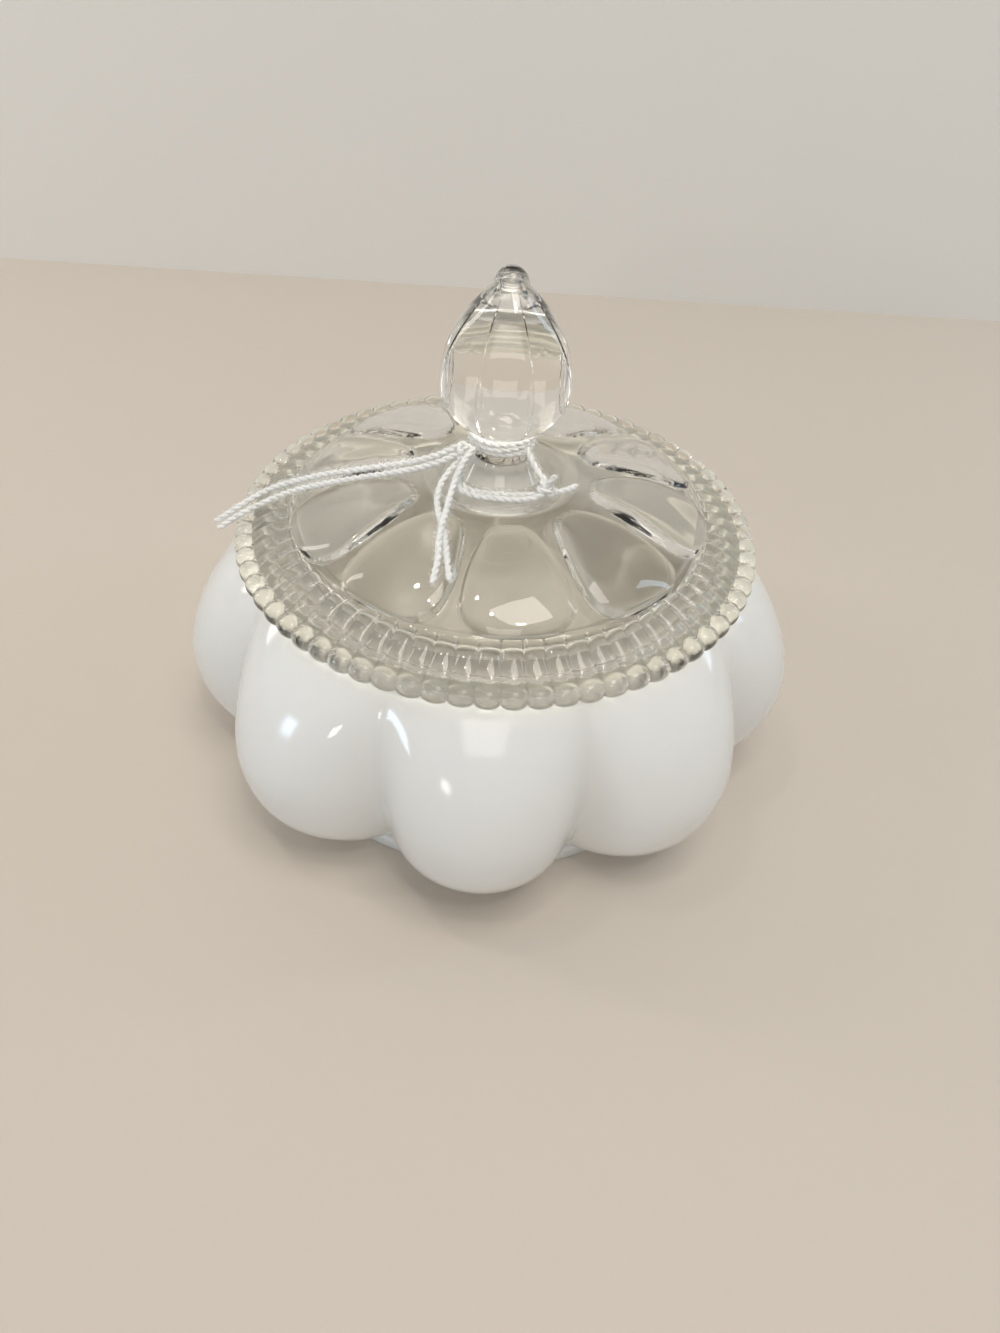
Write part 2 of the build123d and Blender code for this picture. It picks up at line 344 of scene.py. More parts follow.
@dataclass
class ClosedSkin:
    """A closed glass skin that is joined from rings of repeated sectors."""

    name: str
    material: bpy.types.Material
    rings: list[Ring]
    weld: float = 0.004 * MM
    crease: float = 46.0

    def build(self) -> bpy.types.Object:
        """Repeats and joins the rings.

        Returns:
            The finished object.
        """
        tree = radial_repeat()
        joined = bmesh.new()
        for ring in self.rings:
            sector = link(skin(ring.name, ring.strips), ring.name)
            joined.from_mesh(made_by(
                tree, sector, ring.name,
                Count=ring.count, Turn=ring.turn, Weld=self.weld, Material=self.material,
            ))
        bmesh.ops.remove_doubles(joined, verts=joined.verts, dist=self.weld)
        bmesh.ops.dissolve_degenerate(joined, edges=joined.edges, dist=self.weld / 4)
        open_edges = sum(1 for edge in joined.edges if not edge.is_manifold)
        mesh = bpy.data.meshes.new(self.name)
        joined.to_mesh(mesh)
        joined.free()
        mesh.materials.clear()
        mesh.materials.append(self.material)
        mesh.shade_smooth()
        mesh.set_sharp_from_angle(angle=math.radians(self.crease))
        LOG.info("%s: %d faces, %d open edges", self.name, len(mesh.polygons), open_edges)
        return link(mesh, self.name)


# ---- finishes --------------------------------------------------------------------------------


class Shader:
    """A material under construction, with short calls for the nodes that the finishes share."""

    def __init__(self, name: str) -> None:
        """Starts a material that holds one Principled shader.

        Args:
            name: the material's name.
        """
        self.material = bpy.data.materials.new(name)
        self.material.use_nodes = True
        self.nodes = self.material.node_tree.nodes
        self.links = self.material.node_tree.links
        self.surface = self.nodes["Principled BSDF"]
        self.output = self.nodes["Material Output"]

    def fixed(self, **values: object) -> None:
        """Sets the surface's own sockets, with _ for a space."""
        for name, value in values.items():
            self.surface.inputs[name.replace("_", " ")].default_value = value

    def noise(
        self, scale: float, detail: float = 3.0, squeeze: Place = (1, 1, 1)
    ) -> bpy.types.NodeSocket:
        """A noise on Object coordinates.

        Args:
            scale: cells in each metre.
            detail: octaves.
            squeeze: the scale along each axis.

        Returns:
            The socket of its value, from 0 to 1.
        """
        place = self.nodes.new("ShaderNodeTexCoord")
        fit = self.nodes.new("ShaderNodeMapping")
        fit.inputs["Scale"].default_value = squeeze
        noise = self.nodes.new("ShaderNodeTexNoise")
        noise.inputs["Scale"].default_value = scale
        noise.inputs["Detail"].default_value = detail
        self.links.new(place.outputs["Object"], fit.inputs["Vector"])
        self.links.new(fit.outputs["Vector"], noise.inputs["Vector"])
        return noise.outputs[0]

    def spread(
        self, value: bpy.types.NodeSocket, low: float, high: float,
        start: float = 0.35, end: float = 0.65,
    ) -> bpy.types.NodeSocket:
        """Maps a range of a value onto another.

        Args:
            value: the socket to read.
            low: the result at start.
            high: the result at end.
            start: first value of the range.
            end: last value of the range.

        Returns:
            The socket of the result, which stays between low and high.
        """
        fit = self.nodes.new("ShaderNodeMapRange")
        ends = {"From Min": start, "From Max": end, "To Min": low, "To Max": high}
        for name, number in ends.items():
            fit.inputs[name].default_value = number
        self.links.new(value, fit.inputs["Value"])
        return fit.outputs[0]

    def colours(
        self, value: bpy.types.NodeSocket, *stops: tuple[float, Colour]
    ) -> bpy.types.NodeSocket:
        """Turns a value into a colour by a ramp.

        Args:
            value: the socket to read, from 0 to 1.
            stops: two stops, each a place on the ramp and its colour.

        Returns:
            The socket of the colour.
        """
        ramp = self.nodes.new("ShaderNodeValToRGB")
        for stop, (place, colour) in zip(ramp.color_ramp.elements, stops):
            stop.position = place
            stop.color = (*colour, 1)
        self.links.new(value, ramp.inputs[0])
        return ramp.outputs[0]

    def bump(self, *heights: tuple[bpy.types.NodeSocket, float]) -> None:
        """Adds bumps to the surface.

        Args:
            heights: for each bump, the socket of its height and its depth in millimetres.
        """
        normal = None
        for value, depth in heights:
            node = self.nodes.new("ShaderNodeBump")
            node.inputs["Strength"].default_value = 1.0
            node.inputs["Distance"].default_value = depth * MM
            self.links.new(value, node.inputs["Height"])
            if normal:
                self.links.new(normal, node.inputs["Normal"])
            normal = node.outputs[0]
        self.links.new(normal, self.surface.inputs["Normal"])

    def joined(
        self, operation: str, first: bpy.types.NodeSocket, second: bpy.types.NodeSocket
    ) -> bpy.types.NodeSocket:
        """One scalar operation.

        Args:
            operation: the operation's name.
            first: the first socket.
            second: the second socket.

        Returns:
            The socket of the result.
        """
        node = self.nodes.new("ShaderNodeMath")
        node.operation = operation
        self.links.new(first, node.inputs[0])
        self.links.new(second, node.inputs[1])
        return node.outputs[0]

    def round_axes(self) -> tuple[bpy.types.NodeSocket, bpy.types.NodeSocket]:
        """Finds where a point lies by the jar's axis.

        Returns:
            The sockets of its distance from the axis and its height, in metres.
        """
        place = self.nodes.new("ShaderNodeTexCoord")
        axes = self.nodes.new("ShaderNodeSeparateXYZ")
        flat = self.nodes.new("ShaderNodeCombineXYZ")
        reach = self.nodes.new("ShaderNodeVectorMath")
        reach.operation = "LENGTH"
        self.links.new(place.outputs["Object"], axes.inputs[0])
        self.links.new(axes.outputs["X"], flat.inputs["X"])
        self.links.new(axes.outputs["Y"], flat.inputs["Y"])
        self.links.new(flat.outputs[0], reach.inputs[0])
        return reach.outputs["Value"], axes.outputs["Z"]

    def drive(self, name: str, value: bpy.types.NodeSocket) -> None:
        """Links a value to one of the surface's sockets."""
        self.links.new(value, self.surface.inputs[name])


@dataclass(frozen=True)
class OpalGlass:
    """Smooth white opal glass that light soaks into a little, with painted shade low inside the
    bowl.
    """

    white: Colour = (0.81, 0.83, 0.835)
    shade: Colour = (0.765, 0.78, 0.775)
    # painted shade: darker colours for the bowl's inside low down, where its floor lies in shade
    film: Colour = (0.40, 0.388, 0.355)
    film_pale: Colour = (0.47, 0.457, 0.425)
    film_marks: str = "film"
    film_level: float = 15.0
    film_top: float = 25.0
    soak: float = 0.5
    soak_depth: float = 8.0
    soak_reach: Colour = (1.0, 0.95, 0.85)
    gloss_low: float = 0.05
    gloss_high: float = 0.16
    mottle: float = 22.0
    ripple: float = 60.0
    ripple_depth: float = 0.05
    pits: float = 900.0
    pit_depth: float = 0.004

    def painted_shade_share(self, shader: Shader) -> bpy.types.NodeSocket:
        """Reads the marks of the painted shade that darkens the glass low inside the bowl.

        Args:
            shader: the material under construction.

        Returns:
            The socket of the painted shade's share, from 0 to 1.
        """
        marks = shader.nodes.new("ShaderNodeAttribute")
        marks.attribute_name = self.film_marks
        return marks.outputs["Fac"]

    def film_at(self, height: float) -> float:
        """Fades the painted shade out towards its top edge.

        Args:
            height: height above the table, in millimetres.

        Returns:
            The share of painted shade on the inside, from 0 to 1.
        """
        share = (self.film_top - height) / (self.film_top - self.film_level)
        share = min(max(share, 0.0), 1.0)
        return share * share * (3 - 2 * share)

    def build(self) -> bpy.types.Material:
        """Makes the material.

        Returns:
            The material.
        """
        shader = Shader("opal_glass_white")
        shader.fixed(IOR=1.5, Subsurface_Weight=self.soak, Subsurface_Scale=self.soak_depth * MM)
        shader.fixed(Subsurface_Radius=self.soak_reach)
        cloud, painted_shade_grain = shader.noise(self.mottle, 4), shader.noise(self.mottle * 4, 4)
        glass = shader.colours(cloud, (0.3, self.shade), (0.7, self.white))
        # painted shade: the bowl's inside turns darker low down, mixed in by the marks written on
        # the cavity
        film = shader.colours(painted_shade_grain, (0.3, self.film), (0.7, self.film_pale))
        glass_and_painted_shade = shader.nodes.new("ShaderNodeMix")
        glass_and_painted_shade.data_type = "RGBA"
        shader.links.new(self.painted_shade_share(shader), glass_and_painted_shade.inputs["Factor"])
        shader.links.new(glass, glass_and_painted_shade.inputs[6])
        shader.links.new(film, glass_and_painted_shade.inputs[7])
        shader.drive("Base Color", glass_and_painted_shade.outputs[2])
        smear = shader.noise(self.mottle * 3, 5, (1, 1, 0.35))
        shader.drive("Roughness", shader.spread(smear, self.gloss_low, self.gloss_high))
        ripple, pits = shader.noise(self.ripple, 1), shader.noise(self.pits, 2)
        shader.bump((ripple, self.ripple_depth), (pits, self.pit_depth))
        return shader.material


@dataclass(frozen=True)
class PressedGlass:
    """Clear fire-polished pressed glass, which lets lamp light through to what it covers, with
    painted shade that darkens its band of ribs and beads.
    """

    tint: Colour = (0.96, 0.945, 0.905)
    # painted shade: a darker tint over the band of ribs and beads
    band_painted_shade: Colour = (0.88, 0.86, 0.79)
    shadow: Colour = (0.95, 0.94, 0.915)
    band_shadow: Colour = (0.7, 0.685, 0.65)
    gloss_low: float = 0.015
    gloss_high: float = 0.07
    ripple: float = 140.0
    ripple_depth: float = 0.06
    smears: float = 50.0
    chill_level: float = 59.2
    chill_level_blend: float = 0.5
    chill_radius: float = 12.5
    chill_blend: float = 3.0
    chill_gloss: float = 0.5
    seat_level: float = 47.9
    seat_blend: float = 0.3
    seat_gloss: float = 0.45
    band_radius: float = 39.0
    band_blend: float = 2.0
    band_gloss: float = 0.07

    def texture(self, shader: Shader) -> bpy.types.NodeSocket:
        """Roughness of the places that aren't fire-polished.

        Args:
            shader: the material under construction.

        Returns:
            Roughness to add: on the underside below the stem, on the ground seat and on the band.
        """
        radius, height = shader.round_axes()

        def step(
            value: bpy.types.NodeSocket, before: float, after: float, start: float, blend: float
        ) -> bpy.types.NodeSocket:
            """A value's change from before to after over a blend in millimetres."""
            return shader.spread(value, before, after, start * MM, (start + blend) * MM)

        blend, fade = self.chill_blend, self.chill_level_blend
        inside = step(radius, self.chill_gloss, 0, self.chill_radius - blend, blend)
        below = step(height, 1, 0, self.chill_level - fade, fade)
        chill = shader.joined("MULTIPLY", inside, below)
        seat = step(height, self.seat_gloss, 0, self.seat_level, self.seat_blend)
        band = step(radius, 0, self.band_gloss, self.band_radius, self.band_blend)
        return shader.joined("ADD", shader.joined("MAXIMUM", chill, seat), band)

    def build(self) -> bpy.types.Material:
        """Makes the material.

        Returns:
            The material.
        """
        shader = Shader("pressed_glass_clear")
        shader.fixed(IOR=1.5, Transmission_Weight=1.0)
        edges = self.band_radius * MM, (self.band_radius + self.band_blend) * MM
        banded = shader.spread(shader.round_axes()[0], 0, 1, *edges)
        # painted shade: the glass turns darker over the band past band_radius
        shader.drive("Base Color", shader.colours(banded, (0.0, self.tint), (1.0, self.band_painted_shade)))
        smear = shader.spread(shader.noise(self.smears, 5), self.gloss_low, self.gloss_high)
        shader.drive("Roughness", shader.joined("ADD", smear, self.texture(shader)))
        shader.bump((shader.noise(self.ripple, 1), self.ripple_depth))
        rays = shader.nodes.new("ShaderNodeLightPath")
        through = shader.nodes.new("ShaderNodeBsdfTransparent")
        shade = shader.colours(banded, (0.0, self.shadow), (1.0, self.band_shadow))
        shader.links.new(shade, through.inputs[0])
        mix = shader.nodes.new("ShaderNodeMixShader")
        shader.links.new(rays.outputs["Is Shadow Ray"], mix.inputs[0])
        shader.links.new(shader.surface.outputs[0], mix.inputs[1])
        shader.links.new(through.outputs[0], mix.inputs[2])
        shader.links.new(mix.outputs[0], shader.output.inputs["Surface"])
        return shader.material


@dataclass(frozen=True)
class Cotton:
    """Matte white cotton with fine fibres."""

    pale: Colour = (0.95, 0.955, 0.94)
    dull: Colour = (0.82, 0.83, 0.82)
    fibre: float = 2600.0
    fibre_depth: float = 0.05

    def build(self) -> bpy.types.Material:
        """Makes the material.

        Returns:
            The material.
        """
        shader = Shader("cotton_white")
        shader.fixed(IOR=1.45, Sheen_Weight=0.25, Sheen_Roughness=0.6, Specular_IOR_Level=0.25)
        fibres = shader.noise(self.fibre, 3, (1, 1, 0.6))
        shader.drive("Base Color", shader.colours(fibres, (0.32, self.dull), (0.6, self.pale)))
        shader.drive("Roughness", shader.spread(fibres, 0.85, 1.0))
        shader.bump((fibres, self.fibre_depth))
        return shader.material


# ---- bowl ------------------------------------------------------------------------------------


def swell(
    height: float, widest: float, level: float, ends: Sequence[Flat], powers: Flat
) -> float:
    """Radius of a bulging outline.

    Args:
        height: where it is wanted.
        widest: the largest radius.
        level: the height of the largest radius.
        ends: (radius, height) where the outline closes at the top and at the foot.
        powers: roundness above and below the widest level.

    Returns:
        The radius.
    """
    side = 0 if height > level else 1
    (end_radius, end_height), power = ends[side], powers[side]
    share = abs(height - level) / abs(end_height - level)
    return end_radius + (widest - end_radius) * max(1 - share**power, 0.0) ** (1 / power)


@dataclass
class Bowl:
    """The opal-glass bowl: lobes outside and in, a foot ring and a flat lip."""

    lobes: int = 9
    crest_radius: float = 62.0
    valley_radius: float = 53.2
    crest_height: float = 23.0
    valley_height: float = 27.5
    roundness: float = 0.63
    groove: float = 0.10
    underside: float = 1.2
    body_foot: float = 34.9
    wall: float = 3.2
    floor: float = 4.0
    foot_radius: float = 46.3
    foot_width: float = 5.5
    foot_height: float = 3.4
    seat: float = 47.8
    mouth: float = 42.6
    lip_width: float = 4.8
    edge: float = 0.7
    shoulder_inset: float = 1.9
    shoulder_rise: float = 2.0
    crest_powers: Flat = (1.63, 2.23)
    valley_powers: Flat = (1.91, 1.97)
    floor_flat: float = 28.0
    floor_blend: float = 1.2
    mouth_blend: float = 0.15
    lip_blend: float = 0.35
    foot_blend: float = 0.25
    foot_edge: float = 0.9
    foot_gap: float = 0.12
    cavity_gap: float = 0.02
    cavity_top: float = 2.8
    mouth_rows: Flat = (2.2, 1.4)
    mouth_reach: float = 6.0
    lip_inset: float = 0.05
    lip_reach: float = 2.4
    cavity_steps: int = 44
    outside_steps: int = 64
    columns: int = 40
    finish: OpalGlass = field(default_factory=OpalGlass)

    def lobe_share(self, angle: float) -> float:
        """How far an angle is from the grooves beside it.

        Args:
            angle: angle round the axis, in radians.

        Returns:
            1 on a lobe's crest and 0 in the groove between two lobes.
        """
        across = (angle * self.lobes / FULL_TURN + 0.5) % 1.0 * 2 - 1
        from_groove = math.hypot(1 - abs(across), self.groove) - self.groove
        from_groove /= math.hypot(1, self.groove) - self.groove
        bow = math.sqrt(1 - self.roundness * (1 - from_groove) ** 2)
        lowest = math.sqrt(1 - self.roundness)
        return (bow - lowest) / (1 - lowest)

    def body_radius(self, angle: float, height: float, inset: float = 0.0) -> float:
        """Radius of the lobed body.

        Args:
            angle: angle round the axis, in radians.
            height: height above the table.
            inset: how far inside the body; the wall for the cavity.

        Returns:
            The radius.
        """
        top = (self.mouth - self.shoulder_inset - inset, self.seat + self.shoulder_rise - inset)
        ends = (top, (self.body_foot - inset, inset))
        widest = self.crest_radius - inset, self.valley_radius - inset
        crest = swell(height, widest[0], self.crest_height, ends, self.crest_powers)
        valley = swell(height, widest[1], self.valley_height, ends, self.valley_powers)
        return valley + (crest - valley) * self.lobe_share(angle)

    def cavity(self) -> list[Outline]:
        """Lists the outlines of the inside.

        Returns:
            The outlines, from the middle of the floor to the mouth's edge.
        """
        bottom = self.underside + self.floor
        rows: list[Outline] = []
        for share in (0.0, 0.1, 0.3, 0.6, 0.8):
            rows.append(lambda angle, share=share: (share * self.floor_flat, bottom))
        low, high = self.wall + self.cavity_gap, self.seat - self.cavity_top
        for height in between(low, high, self.cavity_steps):
            rows.append(lambda angle, height=height: self.cavity_point(angle, height, bottom))
        return rows

    def cavity_point(self, angle: float, height: float, bottom: float) -> Flat:
        """Rounds the cavity's wall into the floor and the mouth.

        Args:
            angle: angle round the axis, in radians.
            height: height on the wall.
            bottom: height of the floor.

        Returns:
            The point as (radius, height).
        """
        radius = self.body_radius(angle, height, self.wall)
        if height > self.seat - self.mouth_reach:
            radius = soft_max(radius, self.mouth, self.mouth_blend)
        return radius, soft_max(height, bottom, self.floor_blend)

    def rim(self) -> list[Outline]:
        """Lists the outlines of the lip.

        Returns:
            The outlines of the mouth's inner wall, the flat lip and its outer round.
        """
        level = self.seat - self.edge
        inner = arc((self.mouth + self.edge, level), self.edge, 180, 90, 6)
        outer = arc((self.mouth + self.lip_width - self.edge, level), self.edge, 90, 25, 5)
        profile = [(self.mouth, self.seat - drop) for drop in self.mouth_rows] + inner + outer
        return [lambda angle, point=point: point for point in profile]

    def outside(self) -> list[Outline]:
        """Lists the outlines of the lobed outside.

        Returns:
            The outlines, from under the lip down to the foot's top edge.
        """
        lip = self.mouth + self.lip_width - self.lip_inset

        def point(angle: float, height: float) -> Flat:
            """Keeps the lip standing out where a groove runs in under it.

            Args:
                angle: angle round the axis, in radians.
                height: height above the table.

            Returns:
                The point as (radius, height).
            """
            radius = self.body_radius(angle, height)
            if height > self.seat - self.lip_reach:
                radius = soft_max(radius, lip, self.lip_blend)
            return radius, height

        low, high = self.foot_height + self.foot_gap, self.seat - self.edge
        heights = between(low, high, self.outside_steps)
        return [lambda angle, height=height: point(angle, height) for height in reversed(heights)]

    def foot(self) -> list[Outline]:
        """Lists the outlines of the foot.

        Returns:
            The outlines of the foot ring and the recessed underside, down to the middle.
        """
        inner, top, edge = self.foot_radius - self.foot_width, self.foot_height, self.foot_edge
        outer_round = arc((self.foot_radius - edge, top - edge), edge, 80, 0, 6)
        lower_round = arc((self.foot_radius - self.edge, self.edge), self.edge, 0, -90, 6)
        inner_round = arc((inner + self.edge, self.edge), self.edge, -90, -180, 6)
        wall = outer_round + [(self.foot_radius, top / 2)] + lower_round + inner_round
        under = [(radius, self.underside) for radius in (inner, inner * 0.97, inner / 2, 0)]

        def point(angle: float, radius: float, height: float, outer: bool) -> Flat:
            """Joins the foot to the body where the body reaches further out.

            Args:
                angle: angle round the axis, in radians.
                radius: the foot's own radius.
                height: height above the table.
                outer: whether the point is on the ring's outer side.

            Returns:
                The point as (radius, height).
            """
            if outer and height > self.underside:
                radius = soft_max(radius, self.body_radius(angle, height), self.foot_blend)
            return radius, height

        rows: list[Outline] = []
        for index, (radius, height) in enumerate(wall + under):
            outer = index <= len(outer_round)
            rows.append(lambda angle, at=(radius, height, outer): point(angle, *at))
        return rows

    def mark_film(self, glass: bpy.types.Object) -> None:
        """Writes the painted shade's share onto each point of the cavity, for the finish to read.

        Args:
            glass: the finished bowl.
        """
        # marks where painted shade darkens the inside, fading out upwards
        marks = glass.data.attributes.new(self.finish.film_marks, "FLOAT", "POINT")
        lowest = self.underside + self.floor - 0.5
        for point, mark in zip(glass.data.vertices, marks.data):
            x, y, height = (value / MM for value in point.co)
            if not lowest < height < self.finish.film_top:
                continue
            if math.hypot(x, y) < self.body_radius(math.atan2(x, -y), height, self.wall / 2):
                mark.value = self.finish.film_at(height)

    def build(self) -> bpy.types.Object:
        """Makes the bowl from one lobe, from groove to groove.

        Returns:
            The piece.
        """
        half = math.pi / self.lobes
        angles = [-half + 2 * half * share for share in eased(self.columns)]
        outlines = self.cavity() + self.rim() + self.outside() + self.foot()
        rows = [[on_ring(angle, *outline(angle)) for angle in angles] for outline in outlines]
        lobe = Ring("lobe", self.lobes, [rows])
        glass = ClosedSkin("bowl_glass", self.finish.build(), [lobe]).build()
        self.mark_film(glass)
        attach(glass, Body.JAR.value)
        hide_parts("bowl")
        return glass


# ---- lid -------------------------------------------------------------------------------------


@dataclass
class Lid:
    """The clear pressed-glass lid: panelled knob, flared stem, petalled dome, ribs and beads."""

    seat: float = 47.8
    mouth: float = 42.6
    rim_overhang: float = 7.4
    bead_radius: float = 2.0
    bead_count: int = 72
    bead_lift: float = 0.1
    band_width: float = 10.5
    band_height: float = 6.8
    dome_rise: float = 6.4
    dome_power: float = 2.2
    thickness: float = 3.3
    ring_clearance: float = 1.0
    ring_wall: float = 2.8
    ring_depth: float = 4.0
    petals: int = 10
    petal_turn: float = 7.0
    petal_proud: float = 1.6
    petal_start: float = 17.2
    petal_half_angle: float = 16.6
    petal_middle: float = 0.55
    petal_powers: Flat = (2.2, 3.4)
    petal_side_power: float = 3.0
    petal_fullness: float = 0.45
    rib_low: float = 0.45
    rib_start: float = 0.8
    rib_swell: float = 0.6
    rib_swell_power: float = 0.7
    rib_power: float = 2.2
    rib_drop: float = 0.9
    rib_end: float = 1.75
    bead_waist: float = 0.95
    bead_turns: tuple[int, int, int] = (132, -85, -12)
    seat_inset: float = 2.0
    seat_rows: Flat = (1.5, 0.3)
    ring_rows: Flat = (0.3, 1.2)
    ring_edge: float = 0.6
    hollow_round: float = 2.2
    hollow_turn: Flat = (8, 78)
    dome_gap: float = 0.1
    dome_steps: int = 46
    dome_overrun: float = 1.2
    collar_radius: float = 13.5
    collar_step: float = 0.8
    collar_inset: float = 1.0
    collar_bend: float = 2.4
    stem_base: float = 7.9
    flare_power: float = 2.3
    flare_foot: tuple[Flat, Flat] = ((0.25, 0.02), (0.8, 0.0))
    neck_rows: Flat = (0.12, 1.2)
    neck_radius: float = 4.9
    neck_rise: float = 6.2
    neck_length: float = 2.6
    knob_radius: float = 12.05
    knob_drop: float = 10.3
    knob_taper: float = 15.3
    knob_shoulder: float = 1.77
    panels: int = 8
    panel_flatness: float = 0.055
    ridge_line: float = 0.36
    ridge_width: float = 0.9
    ridge_fade: float = 0.3
    knob_steps: int = 44
    ledge: float = 0.2
    string_clearance: float = 0.25
    tip_radius: float = 2.95
    tip_height: float = 3.0
    finish: PressedGlass = field(default_factory=PressedGlass)

    def __post_init__(self) -> None:
        """Works out the levels and radii that the parts share."""
        self.bead_ring = self.mouth + self.rim_overhang - self.bead_radius
        self.bead_level = self.seat + self.bead_lift + self.bead_radius
        self.dome_edge = self.mouth + self.rim_overhang - self.band_width
        self.band_level = self.seat + self.band_height
        self.collar_level = self.band_level + self.dome_rise + self.collar_step
        self.neck_level = self.collar_level + self.neck_rise
        self.neck_top = self.neck_level + self.neck_length
        self.knob_level = self.neck_top + self.knob_drop - self.string_clearance
        self.tip_level = self.knob_level + self.knob_taper

    def dome_height(self, radius: float) -> float:
        """Top of the dome without its petals.

        Args:
            radius: distance from the axis.

        Returns:
            The height above the table.
        """
        share = (radius - self.collar_radius) / (self.dome_edge - self.collar_radius)
        share = min(max(share, 0.0), self.dome_overrun)
        return self.band_level + self.dome_rise * (1 - share**self.dome_power)

    def petal_height(self, angle: float, radius: float) -> float:
        """How far a petal's pillow stands out of the dome.

        Args:
            angle: angle from the petal's middle, in radians.
            radius: distance from the axis.

        Returns:
            The height above the dome, 0 outside the petal.
        """
        end = self.dome_edge + self.dome_gap
        along = (radius - self.petal_start) / (end - self.petal_start)
        if not 0 < along < 1:
            return 0.0
        middle = self.petal_middle
        reach = (middle - along) / middle if along < middle else (along - middle) / (1 - middle)
        power = self.petal_powers[0 if along < middle else 1]
        across = abs(math.degrees(angle)) / self.petal_half_angle
        left = 1 - reach**power - across**self.petal_side_power
        return self.petal_proud * max(left, 0.0) ** self.petal_fullness

    def knob_radius_at(self, angle: float, height: float) -> float:
        """Radius of the panelled knob.

        Args:
            angle: angle from the middle of a panel, in radians.
            height: height above the table.

        Returns:
            The radius.
        """
        if height >= self.tip_level:
            climb = (height - self.tip_level) / self.tip_height
            return self.tip_radius * math.sqrt(max(1 - climb**2, 0))
        if height < self.knob_level:
            waist = (self.neck_radius + self.ledge) / self.knob_radius
            drop = self.knob_drop / math.sqrt(1 - waist**2)
            reach = self.knob_radius * math.sqrt(1 - ((self.knob_level - height) / drop) ** 2)
        else:
            share = (height - self.knob_level) / self.knob_taper
            narrowing = (self.knob_radius - self.tip_radius) * share**self.knob_shoulder
            reach = self.knob_radius - narrowing
        full = (height - self.neck_top) / (self.tip_level - self.neck_top)
        fullness = math.sin(math.pi * min(max(full, 0), 1))
        across = (angle * self.panels / FULL_TURN + 0.5) % 1.0 * 2 - 1
        from_ridge = (1 - abs(across)) * 180 / self.panels
        line = self.ridge_line * math.exp(-((from_ridge / self.ridge_width) ** 2))
        line *= fullness**self.ridge_fade
        return reach * (1 - self.panel_flatness * math.sqrt(fullness) * (1 - across**2)) - line

    def knob(self) -> Ring:
        """Makes one knob panel, from the middle of a face to the middle of the next.

        Returns:
            The ring of panels.
        """
        columns = 360 // self.panels
        angles = [FULL_TURN / 360 * step for step in range(columns + 1)]
        turns = [math.radians(turn) for turn in range(0, 90, 9)]
        tip = [self.tip_level + self.tip_height * math.cos(turn) for turn in turns]
        sides = between(self.neck_top, self.tip_level, self.knob_steps)
        heights = tip + list(reversed(sides))
        rows = [
            [on_ring(angle, self.knob_radius_at(angle, height), height) for angle in angles]
            for height in heights
        ]
        return Ring("knob_panel", self.panels, [rows])

    def stem(self) -> list[Flat]:
        """Draws the stem.

        Returns:
            Points (radius, height) down the neck, its flare, the collar and the dome's first edge.
        """
        waist = self.neck_radius + self.ledge
        levels = [self.neck_top - drop for drop in self.neck_rows] + [self.neck_level]
        neck = [(self.neck_radius, level) for level in levels]
        flare, out = [], self.stem_base - self.neck_radius
        for share in eased(12)[1:]:
            height = self.neck_level - self.neck_rise * share
            flare.append((self.neck_radius + out * share**self.flare_power, height))
        base = [(self.stem_base + gap, self.collar_level + rise) for gap, rise in self.flare_foot]
        edge = self.collar_radius - self.collar_step - self.collar_inset
        reach = self.collar_step + self.collar_bend
        bend = []
        for share in eased(10):
            drop = (1 - math.cos(math.pi * share)) / 2
            bend.append((edge + reach * share, self.collar_level - self.collar_step * drop))
        return [(waist, self.neck_top)] + neck + flare + base + bend

    def dome(self) -> Ring:
        """Makes one petal of the dome with its share of the stem and of the plain underside.

        Returns:
            The ring of petals.
        """
        columns = 360 // self.petals
        half = math.pi / self.petals
        angles = [-half + FULL_TURN / 360 * step for step in range(columns + 1)]
        top = [[on_ring(angle, *point) for angle in angles] for point in self.stem()]
        inner = self.collar_radius + self.collar_step + self.dome_gap
        fine = [-half + FULL_TURN / 720 * step for step in range(2 * columns + 1)]
        radii = between(inner, self.dome_edge, self.dome_steps)
        for index, radius in enumerate(radii):
            across = angles if index in (0, len(radii) - 1) else fine
            top.append([
                on_ring(angle, radius, self.dome_height(radius) + self.petal_height(angle, radius))
                for angle in across
            ])
        under = [[on_ring(angle, *point) for angle in angles] for point in self.underside()]
        turn = math.radians(self.petal_turn)
        return Ring("petal", self.petals, [top, under], turn)

    def underside(self) -> list[Flat]:
        """Draws the underside.

        Returns:
            Points (radius, height) of the seat, the locating ring and the hollow, to the middle.
        """
        outer = self.mouth - self.ring_clearance
        inner = outer - self.ring_wall
        low, edge = self.seat - self.ring_depth, self.ring_edge
        seat = [(self.bead_ring - self.seat_inset, self.seat)]
        seat += [(outer + gap, self.seat) for gap in self.seat_rows]
        wall = [(outer, self.seat - drop) for drop in self.ring_rows]
        foot = arc((outer - edge, low + edge), edge, 0, -90, 5)
        foot += arc((inner + edge, low + edge), edge, -90, -180, 5)
        ceiling = []
        start = inner - self.hollow_round
        for share in eased(16):
            radius = start * (1 - share)
            above = self.dome_height(max(radius, self.collar_radius))
            ceiling.append((radius, above - self.thickness))
        centre = start, ceiling[0][1] - self.hollow_round
        bend = arc(centre, self.hollow_round, *self.hollow_turn, 7)
        return seat + wall + foot + [(inner, self.seat)] + bend + ceiling

